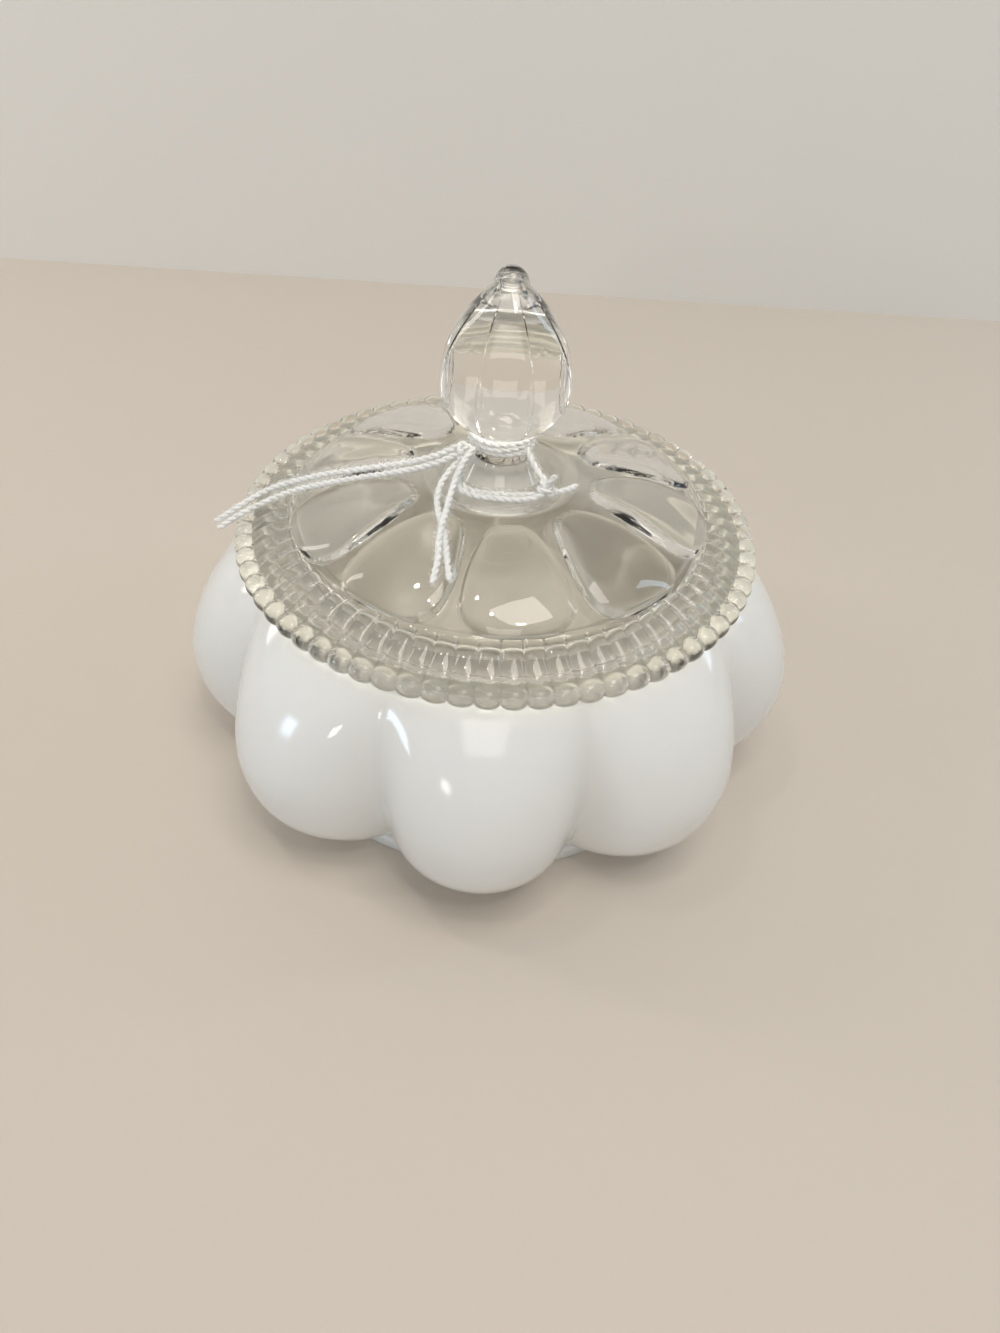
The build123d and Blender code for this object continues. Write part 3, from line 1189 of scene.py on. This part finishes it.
    def band(self) -> Ring:
        """Makes one rib with its bead, with a coarser edge towards the dome and the seat.

        Returns:
            The ring of ribs and beads.
        """
        pitch = FULL_TURN / self.bead_count
        fine = self.fine_angles(pitch)
        coarse = [pitch / 5 * step for step in range(6)]
        start = Vector((self.dome_edge, self.band_level - self.rib_drop))
        bead = Vector((self.bead_ring, self.bead_level))
        along = (bead - start).normalized()
        out = Vector((-along.y, along.x))
        length = (bead - start).length
        rows = [[on_ring(angle, self.dome_edge, self.band_level) for angle in coarse]]
        neck = length - self.rib_end
        for share in eased(10)[1:-1]:
            rows.append(self.rib_row(fine, pitch, start + along * (neck * share), out, share))
        for turn in range(*self.bead_turns):
            way = along * math.cos(math.radians(turn)) + out * math.sin(math.radians(turn))
            rows.append(self.bead_row(fine, pitch, bead, way))
        inner = self.bead_ring - self.seat_inset
        rows.append([on_ring(angle, inner, self.seat) for angle in coarse])
        return Ring("rib_and_bead", self.bead_count, [rows])

    def fine_angles(self, pitch: float) -> list[float]:
        """Angles across one bead.

        Args:
            pitch: angle from one bead's crest to the next, in radians.

        Returns:
            Angles from crest to crest that crowd towards the groove between them.
        """
        half = [math.sin(math.pi / 2 * step / 5) / 2 for step in range(6)]
        rest = [1 - share for share in reversed(half[:-1])]
        return [pitch * share for share in half + rest]

    def from_crest(self, angle: float, pitch: float) -> float:
        """0 on the nearest crest and 1 in the groove between two."""
        return min(abs(angle % pitch), pitch - abs(angle % pitch)) / (pitch / 2)

    def rib_row(
        self, angles: list[float], pitch: float, base: Vector, out: Vector, share: float
    ) -> Row:
        """Lays one row of points across a rib.

        Args:
            angles: angles round the axis, in radians.
            pitch: angle from one rib's crest to the next.
            base: the band's surface there, as (radius, height).
            out: direction out of the band.
            share: 0 at the dome's edge and 1 at the rib's waist before the bead.

        Returns:
            The row.
        """
        crest = self.rib_start + self.rib_swell * math.sin(math.pi * share) ** self.rib_swell_power
        row = []
        for angle in angles:
            left = 1 - self.from_crest(angle, pitch) ** self.rib_power
            rise = self.rib_low + (crest - self.rib_low) * math.sqrt(max(left, 0))
            point = base + out * rise
            row.append(on_ring(angle, point.x, point.y))
        return row

    def bead_row(self, angles: list[float], pitch: float, centre: Vector, way: Vector) -> Row:
        """Lays one row of points across a bead.

        Args:
            angles: angles round the axis, in radians.
            pitch: angle from one bead's crest to the next.
            centre: the bead's centre, as (radius, height).
            way: direction from the centre to the row.

        Returns:
            The row, never below the gap over the bowl.
        """
        row = []
        for angle in angles:
            left = 1 - self.from_crest(angle, pitch) ** 2
            reach = self.bead_waist + (self.bead_radius - self.bead_waist) * math.sqrt(max(left, 0))
            point = centre + way * reach
            row.append(on_ring(angle, point.x, max(point.y, self.seat + self.bead_lift)))
        return row

    def build(self) -> bpy.types.Object:
        """Joins knob, dome, band and underside into one closed lid.

        Returns:
            The piece.
        """
        rings = [self.knob(), self.dome(), self.band()]
        glass = ClosedSkin("lid_glass", self.finish.build(), rings).build()
        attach(glass, Body.LID.value)
        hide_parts("lid")
        return glass


# ---- string ----------------------------------------------------------------------------------

PLY_COUNT = 2
# A ply's radius, how far it lies off the string's middle and its step, by the string's diameter.
PLY_RADIUS = 0.335
PLY_OFFSET = 0.225
PLY_STEP = 0.22
# The noise that varies a ply's width: its scale, how far the plies' parts of it lie apart, how
# much of it counts, and the least width.
WOBBLE_SCALE = 700.0
WOBBLE_APART = 3.1
WOBBLE_SHARE = 0.5
WOBBLE_LEAST = 0.75
# A loose fibre in metres: its radius, and the bend and the tip of its curve.
HAIR_RADIUS = 0.000019
HAIR_BEND = (0.0003, 0, 0.0004)
HAIR_TIP = (0.0007, 0.0002, 0.0004)


def twisted_string() -> bpy.types.NodeTree:
    """A tree that lays two twisted plies and loose fibres along a curve.

    Returns:
        The tree, with inputs Diameter, Pitch, Fibres, Seed and Material.
    """
    tree = NodeTree("twisted_string")
    diameter, pitch = tree.value("Diameter", "Float"), tree.value("Pitch", "Float")
    fibres, seed = tree.value("Fibres", "Float"), tree.value("Seed", "Int")
    material = tree.value("Material", "Material")
    route = tree.start.outputs["Geometry"]
    fine = tree.maths("MULTIPLY", diameter, PLY_STEP)
    line = tree.node("ResampleCurve", {"mode": "LENGTH"}, Curve=route, Length=fine).outputs[0]
    along = tree.node("SplineParameter").outputs["Length"]
    normal = tree.node("InputNormal").outputs[0]
    tangent = tree.node("InputTangent").outputs[0]
    side = tree.vectors("CROSS_PRODUCT", tangent, normal)
    turn = tree.maths("MULTIPLY", tree.maths("DIVIDE", along, pitch), FULL_TURN)
    ply_radius = tree.maths("MULTIPLY", diameter, PLY_RADIUS)
    offset = tree.maths("MULTIPLY", diameter, PLY_OFFSET)
    joined = tree.node("JoinGeometry")
    for ply in range(PLY_COUNT):
        angle = tree.maths("ADD", turn, ply * FULL_TURN / PLY_COUNT)
        shares = [tree.maths(wave, angle) for wave in ("COSINE", "SINE")]
        across, up = (
            tree.vectors("SCALE", way, scale=tree.maths("MULTIPLY", share, offset))
            for way, share in zip((normal, side), shares)
        )
        place = tree.vectors("ADD", across, up)
        laid = tree.node("SetPosition", Geometry=line, Offset=place).outputs[0]
        own_place = tree.maths("ADD", along, ply * WOBBLE_APART)
        wobble = tree.node(
            "ShaderNodeTexNoise", {"noise_dimensions": "1D"}, W=own_place, Scale=WOBBLE_SCALE
        )
        grain = wobble.outputs[0]
        width = tree.maths("MULTIPLY_ADD", grain, WOBBLE_SHARE, WOBBLE_LEAST)
        shaped = tree.node("SetCurveRadius", Curve=laid, Radius=width).outputs[0]
        profile = tree.node("CurvePrimitiveCircle", Resolution=9, Radius=ply_radius).outputs[0]
        tube = tree.node("CurveToMesh", Curve=shaped, Profile_Curve=profile, Fill_Caps=True)
        tree.group.links.new(tube.outputs[0], joined.inputs[0])
    plies = joined.outputs[0]
    scatter = tree.node("DistributePointsOnFaces", Mesh=plies, Density=fibres, Seed=seed)
    hair = tree.node(
        "CurveQuadraticBezier", Resolution=4, Start=(0, 0, 0), Middle=HAIR_BEND, End=HAIR_TIP
    ).outputs[0]
    thin = tree.node("CurvePrimitiveCircle", Resolution=3, Radius=HAIR_RADIUS).outputs[0]
    fibre = tree.node("CurveToMesh", Curve=hair, Profile_Curve=thin).outputs[0]
    spin = tree.node("FunctionNodeRandomValue", {"data_type": "FLOAT"}, Seed=seed).outputs[1]
    spin.node.inputs[3].default_value = FULL_TURN
    turned = tree.node("ShaderNodeCombineXYZ", Z=spin).outputs[0]
    lean = tree.node(
        "FunctionNodeRotateRotation", {"rotation_space": "LOCAL"},
        i0=scatter.outputs["Rotation"], i1=turned,
    ).outputs[0]
    hairs = tree.node(
        "InstanceOnPoints", Points=scatter.outputs[0], Instance=fibre, Rotation=lean
    ).outputs[0]
    whole = tree.node("JoinGeometry")
    for part in (plies, tree.node("RealizeInstances", Geometry=hairs).outputs[0]):
        tree.group.links.new(part, whole.inputs[0])
    smooth = tree.node("SetShadeSmooth", Geometry=whole.outputs[0]).outputs[0]
    return tree.finish(tree.node("SetMaterial", Geometry=smooth, Material=material).outputs[0])


def string_curve(name: str, *routes: Sequence[Vector]) -> bpy.types.Object:
    """A NURBS curve along some routes.

    Args:
        name: the curve's name.
        routes: each route's points in metres, closed where it ends at its start.

    Returns:
        The curve as an object.
    """
    curve = bpy.data.curves.new(name, "CURVE")
    curve.dimensions = "3D"
    curve.resolution_u = 12
    for route in routes:
        closed = route[0] == route[-1]
        places = route[:-1] if closed else route
        spline = curve.splines.new("NURBS")
        spline.points.add(len(places) - 1)
        for point, place in zip(spline.points, places):
            point.co = (*place, 1)
        spline.order_u = 3
        spline.use_endpoint_u = not closed
        spline.use_cyclic_u = closed
    return link(curve, name)


@dataclass(frozen=True)
class Strand:
    """One length of string: its route in millimetres and what it leaves and ends in."""

    name: str
    route: Sequence[Place]
    far_end: FarEnd
    replaces: str


@dataclass(frozen=True)
class Knot:
    """One tied knot: its middle in millimetres, its turn and the end that sticks out of it."""

    name: str
    centre: Place
    replaces: str
    lean: Matrix
    seed: int
    stub: Sequence[Place] = ()


@dataclass
class CottonString:
    """The bit of cotton string that is tied round the knob's neck."""

    lid: Lid
    diameter: float = 1.05
    pitch: float = 2.9
    wrap_turns: float = 2.7
    wrap_start: float = 0.15
    wrap_pitch: float = 0.98
    wrap_tightness: float = 0.88
    wrap_gap: float = 0.1
    wrap_sway: float = 0.12
    wrap_dip: float = 0.06
    turn_steps: int = 14
    shortest: float = 30.5
    fibres: float = 4.5e6
    knot_size: float = 0.48
    knot_steps: int = 30
    knot_depth: float = 1.3
    knot_tightness: float = 0.9
    finish: Cotton = field(default_factory=Cotton)

    TAIL_UPPER = (
        (-6.6, -4.1, 69.2), (-9.9, -4.2, 67.2), (-13.5, -3.7, 65.3), (-18.0, -3.1, 63.6),
        (-23.2, -3.2, 62.5), (-28.6, -3.1, 61.2), (-33.9, -2.8, 59.7), (-38.8, -2.2, 57.7),
        (-43.3, -2.1, 55.8), (-47.2, -3.7, 53.9), (-50.4, -5.4, 52.3), (-53.4, -5.6, 50.1),
    )
    TAIL_LOWER = (
        (-6.7, -5.1, 68.3), (-9.8, -5.5, 66.4), (-13.4, -5.0, 64.5), (-18.0, -4.7, 62.9),
        (-23.0, -5.2, 62.0), (-28.2, -5.3, 60.8), (-33.3, -5.1, 59.3), (-38.0, -4.4, 57.3),
        (-42.3, -4.7, 55.4), (-46.2, -6.0, 53.7), (-49.5, -7.3, 52.2), (-52.3, -7.6, 50.0),
    )
    FRONT_LEFT = (
        (-6.9, -4.5, 66.9), (-8.8, -6.7, 65.4), (-10.3, -9.2, 64.3), (-11.0, -12.4, 63.2),
        (-10.4, -16.2, 62.5), (-9.2, -20.1, 62.1), (-8.5, -24.1, 61.9), (-8.0, -28.1, 61.3),
        (-7.2, -32.1, 60.2),
    )
    FRONT_RIGHT = (
        (-5.0, -5.3, 68.9), (-6.3, -7.1, 67.9), (-7.4, -9.4, 66.7), (-8.1, -12.1, 65.4),
        (-8.6, -15.2, 64.4), (-8.9, -18.4, 63.9), (-9.4, -21.8, 63.5), (-9.6, -25.3, 62.3),
        (-9.4, -29.1, 61.2), (-10.0, -32.9, 60.0),
    )
    COLLAR_INNER = (
        (-5.9, -0.8, 67.1), (-7.0, -2.9, 66.1), (-7.5, -5.1, 64.8), (-7.4, -7.2, 63.3),
        (-5.9, -9.0, 62.7), (-3.1, -9.8, 62.65), (0.2, -10.0, 62.65), (3.4, -9.8, 62.65),
        (6.4, -9.3, 62.7), (9.4, -8.6, 62.8), (12.1, -7.2, 62.6), (13.9, -5.0, 62.2),
    )
    COLLAR_OUTER = (
        (4.3, -4.0, 68.8), (5.5, -5.1, 66.9), (6.8, -6.3, 65.3), (8.4, -7.8, 64.5),
        (8.5, -10.1, 63.9), (5.6, -11.2, 62.8), (2.0, -11.4, 62.65), (-1.4, -11.3, 62.65),
        (-4.7, -10.9, 62.7), (-7.3, -9.8, 63.1), (-7.8, -8.0, 64.4), (-6.7, -6.4, 66.1),
    )

    KNOT_LEFT = (-6.6, -5.0, 68.0)
    KNOT_RIGHT = (8.2, -9.1, 63.9)
    RIGHT_STUB = ((8.3, -9.3, 64.4), (8.6, -9.6, 65.4), (9.0, -9.7, 66.2), (9.7, -9.5, 67.0))

    def wrap_route(self) -> list[Place]:
        """Winds the turns round the neck.

        Returns:
            The route, rising from the left side.
        """
        clear = self.lid.neck_radius + self.lid.string_clearance
        radius = clear + self.diameter / 2 + self.wrap_gap
        points = []
        for step in range(round(self.wrap_turns * self.turn_steps) + 1):
            turns = step / self.turn_steps
            angle = -math.pi / 2 + turns * FULL_TURN
            out = radius + self.wrap_sway * math.sin(2.3 * angle)
            climb = min(max(turns - 0.25, 0.0), self.wrap_turns - 0.65) * self.wrap_pitch
            dip = self.wrap_dip * math.cos(1.7 * angle)
            height = self.lid.neck_level + self.wrap_start + climb + dip
            points.append((out * math.sin(angle), -out * math.cos(angle), height))
        return points

    def strands(self) -> list[Strand]:
        """Lists the lengths of string.

        Returns:
            Every strand, in the order that they are laid.
        """
        bare, tied = FarEnd.BARE, FarEnd.OBJECT
        return [
            Strand("neck_wrap_string", self.wrap_route(), tied, "string_neck_wrap"),
            Strand("tail_string_upper", self.TAIL_UPPER, bare, "string_tail_upper"),
            Strand("tail_string_lower", self.TAIL_LOWER, bare, "string_tail_lower"),
            Strand("front_string_left", self.FRONT_LEFT, bare, "string_front_left"),
            Strand("front_string_right", self.FRONT_RIGHT, bare, "string_front_right"),
            Strand("collar_string_inner", self.COLLAR_INNER, bare, "string_collar_inner"),
            Strand("collar_string_outer", self.COLLAR_OUTER, tied, "string_collar_outer"),
        ]

    def knots(self) -> list[Knot]:
        """Lists the knots.

        Returns:
            The knot on the left and the one on the collar.
        """
        left, right = Matrix.Rotation(0.9, 3, "X"), Matrix.Rotation(0.5, 3, "Y")
        return [
            Knot("left_knot", self.KNOT_LEFT, "string_knot_left", left, 21),
            Knot("right_knot", self.KNOT_RIGHT, "string_knot_right", right, 22, self.RIGHT_STUB),
        ]

    def twist(
        self, guide: bpy.types.Object, share: float, seed: int,
        tree: bpy.types.NodeTree, cotton: bpy.types.Material,
    ) -> bpy.types.Object:
        """Twists string along a guide.

        Args:
            guide: the curve to follow, which is used up.
            share: the string's width against its loose diameter.
            seed: seed of its loose fibres.
            tree: the tree that twists it.
            cotton: its finish.

        Returns:
            The piece, under the guide's name.
        """
        name = guide.name
        return link(made_by(
            tree, guide, name, Diameter=self.diameter * share * MM, Pitch=self.pitch * MM,
            Fibres=self.fibres, Seed=seed, Material=cotton,
        ), name)

    def lay(
        self, strand: Strand, tree: bpy.types.NodeTree, cotton: bpy.types.Material, seed: int
    ) -> bpy.types.Object:
        """Args:
            strand: the length to make.
            tree: the tree that twists it.
            cotton: its finish.
            seed: seed of its loose fibres.

        Returns:
            The piece.
        """
        guide = string_curve(strand.name, [Vector(point) * MM for point in strand.route])
        line_mesh = bpy.data.meshes.new_from_object(guide)
        coiled = strand.replaces == "string_neck_wrap"
        piece = self.twist(guide, self.wrap_tightness if coiled else 1.0, seed, tree, cotton)
        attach(piece, Body.LID.value)
        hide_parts(strand.replaces)
        return piece

    def tie(
        self, knot: Knot, tree: bpy.types.NodeTree, cotton: bpy.types.Material
    ) -> bpy.types.Object:
        """Makes one tied knot as a small tight loop of the same string.

        Args:
            knot: the knot to make.
            tree: the tree that twists it.
            cotton: its finish.

        Returns:
            The piece.
        """
        loop = []
        for step in range(self.knot_steps + 1):
            turn = FULL_TURN * (step % self.knot_steps) / self.knot_steps
            swing = 2 + math.cos(3 * turn)
            x, y = swing * math.cos(2 * turn), swing * math.sin(2 * turn)
            place = Vector((x, y, self.knot_depth * math.sin(3 * turn)))
            loop.append((Vector(knot.centre) + knot.lean @ place * self.knot_size) * MM)
        stub = [Vector(point) * MM for point in knot.stub]
        guide = string_curve(knot.name, *filter(None, (loop, stub)))
        piece = self.twist(guide, self.knot_tightness, knot.seed, tree, cotton)
        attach(piece, Body.LID.value)
        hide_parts(knot.replaces)
        LOG.info("%s: %d faces", knot.name, len(piece.data.polygons))
        return piece

    def build(self) -> list[bpy.types.Object]:
        """Makes every strand and both knots.

        Returns:
            The pieces.
        """
        tree, cotton = twisted_string(), self.finish.build()
        laid = enumerate(self.strands(), 1)
        pieces = [self.lay(strand, tree, cotton, seed) for seed, strand in laid]
        return pieces + [self.tie(knot, tree, cotton) for knot in self.knots()]


# ---- stage, lamps and camera -----------------------------------------------------------------

WARM = (1.0, 0.95, 0.88)
COOL = (0.62, 0.82, 1.0)


@dataclass
class Lamp:
    """A soft lamp that looks at the jar, tall times as high as it is wide."""

    name: str
    place: Place
    size: float
    power: float
    colour: Colour = WARM
    tall: float = 1.0

    def build(self, target: Vector) -> None:
        """Hangs the lamp.

        Args:
            target: where it points, in metres.
        """
        light = bpy.data.lights.new(self.name, "AREA")
        light.shape, light.size, light.size_y = "RECTANGLE", self.size, self.size * self.tall
        light.energy, light.color = self.power, self.colour
        holder = link(light, self.name)
        holder.location = self.place
        holder.rotation_euler = (target - Vector(self.place)).to_track_quat("-Z", "Y").to_euler()


@dataclass
class Studio:
    """A pale floor in front of a paler wall, soft lamps and a plain world."""

    half_width: float = 1.6
    front: float = -1.2
    back: float = 0.24
    height: float = 1.4
    floor_colour: Colour = (0.60, 0.545, 0.48)
    wall_colour: Colour = (0.80, 0.785, 0.755)
    paint_roughness: float = 0.7
    paint_dull_share: float = 0.97
    world: Colour = (0.62, 0.62, 0.63)
    world_strength: float = 0.4
    seen_world: Colour = (0.66, 0.65, 0.63)

    def sheet(self, name: str, near: Flat, far: Flat, colour: Colour) -> None:
        """Builds one flat sheet.

        Args:
            name: the sheet's name.
            near: (y, z) of its near edge, in metres.
            far: (y, z) of its far edge.
            colour: its paint.
        """
        points = [(side * self.half_width, *edge) for edge in (near, far) for side in (-1, 1)]
        mesh = bpy.data.meshes.new(name)
        mesh.from_pydata(points, [], [(0, 1, 3, 2)])
        mesh.shade_smooth()
        shader = Shader(f"{name}_paint")
        shader.fixed(Roughness=self.paint_roughness)
        dull = tuple(channel * self.paint_dull_share for channel in colour)
        paint = shader.colours(shader.noise(3.0, 4), (0.3, dull), (0.7, colour))
        shader.drive("Base Color", paint)
        mesh.materials.append(shader.material)
        link(mesh, name)

    def room(self) -> None:
        """Sets a dim even light all round, which eyes, gloss and glass see as a pale room."""
        world = bpy.data.worlds.new("room")
        world.use_nodes = True
        nodes, links = world.node_tree.nodes, world.node_tree.links
        dim, pale = nodes["Background"], nodes.new("ShaderNodeBackground")
        dim.inputs[0].default_value = (*self.world, 1)
        dim.inputs[1].default_value = self.world_strength
        pale.inputs[0].default_value = (*self.seen_world, 1)
        rays = nodes.new("ShaderNodeLightPath")
        seen = rays.outputs["Is Camera Ray"]
        for kind in ("Is Glossy Ray", "Is Transmission Ray"):
            either = nodes.new("ShaderNodeMath")
            either.operation = "MAXIMUM"
            links.new(seen, either.inputs[0])
            links.new(rays.outputs[kind], either.inputs[1])
            seen = either.outputs[0]
        mix = nodes.new("ShaderNodeMixShader")
        for index, socket in enumerate((seen, dim.outputs[0], pale.outputs[0])):
            links.new(socket, mix.inputs[index])
        links.new(mix.outputs[0], nodes["World Output"].inputs["Surface"])
        bpy.context.scene.world = world

    def build(self, target: Vector) -> None:
        """Sets floor, wall, world and lamps.

        Args:
            target: where the lamps point, in metres.
        """
        corner = self.back, 0.0
        self.sheet("floor", (self.front, 0.0), corner, self.floor_colour)
        self.sheet("wall", corner, (self.back, self.height), self.wall_colour)
        self.room()
        lamps = [
            Lamp("ceiling_lamp", (0.25, -0.3, 1.4), 0.6, 6.6),
            Lamp("spot_left", (-0.35, 0.05, 1.2), 0.06, 0.7),
            Lamp("spot_right", (0.2, -0.5, 1.1), 0.06, 0.7),
            Lamp("spot_middle", (-0.08, -0.25, 1.0), 0.04, 0.35),
            Lamp("window_lamp", (-1.02, -0.6, 0.16), 0.2, 1.3, COOL),
            Lamp("room_lamp", (-0.5, -1.05, 0.2), 0.12, 0.5),
            Lamp("strip_left", (-0.5, 0.12, 0.3), 0.05, 0.4, tall=8.0),
            Lamp("strip_right", (0.5, 0.12, 0.3), 0.05, 0.3, COOL, tall=8.0),
            Lamp("wall_lamp", (0.0, -0.9, 0.9), 0.5, 2.4),
        ]
        for lamp in lamps:
            lamp.build(target)


@dataclass
class Viewpoint:
    """The camera, by where the lid's rim lies from it and how far its aim is off that point."""

    target: Vector
    distance: float = 182.72
    elevation: float = 34.9
    roll: float = 3.4377
    aim_right: float = -0.1463
    aim_down: float = 8.876
    lens: float = 24.954

    def build(self) -> bpy.types.Object:
        """Places the camera and makes it the scene's own.

        Returns:
            The camera.
        """

        def turned(first: Vector, second: Vector, degrees: float) -> tuple[Vector, Vector]:
            """Two axes turned in their own plane, the first towards the second."""
            cosine, sine = math.cos(math.radians(degrees)), math.sin(math.radians(degrees))
            return first * cosine + second * sine, second * cosine - first * sine

        lift = math.radians(self.elevation)
        back = Vector((0, -math.cos(lift), math.sin(lift)))
        forward = -back
        right = forward.cross(Vector((0, 0, 1))).normalized()
        right, up = turned(right, right.cross(forward), self.roll)
        forward, right = turned(forward, right, -self.aim_right)
        forward, up = turned(forward, up, -self.aim_down)
        camera = bpy.data.cameras.new("camera")
        camera.lens, camera.sensor_width, camera.clip_start = self.lens, 36, 0.005
        holder = link(camera, "camera")
        turn = Matrix((right, up, -forward)).transposed().to_4x4()
        holder.matrix_world = Matrix.Translation(self.target + back * self.distance * MM) @ turn
        bpy.context.scene.camera = holder
        return holder


def main() -> None:
    """Builds the jar, its stage and its camera."""
    logging.basicConfig(level=logging.INFO, format="%(message)s")
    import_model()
    bpy.context.scene.view_settings.view_transform = "Standard"
    lid = Lid()
    rim = Vector((0, 0, (lid.seat + lid.bead_radius) * MM))
    Viewpoint(rim).build()
    CottonString(lid).build()
    Bowl().build()
    lid.build()
    Studio().build(rim)


if __name__ == "__main__":
    main()
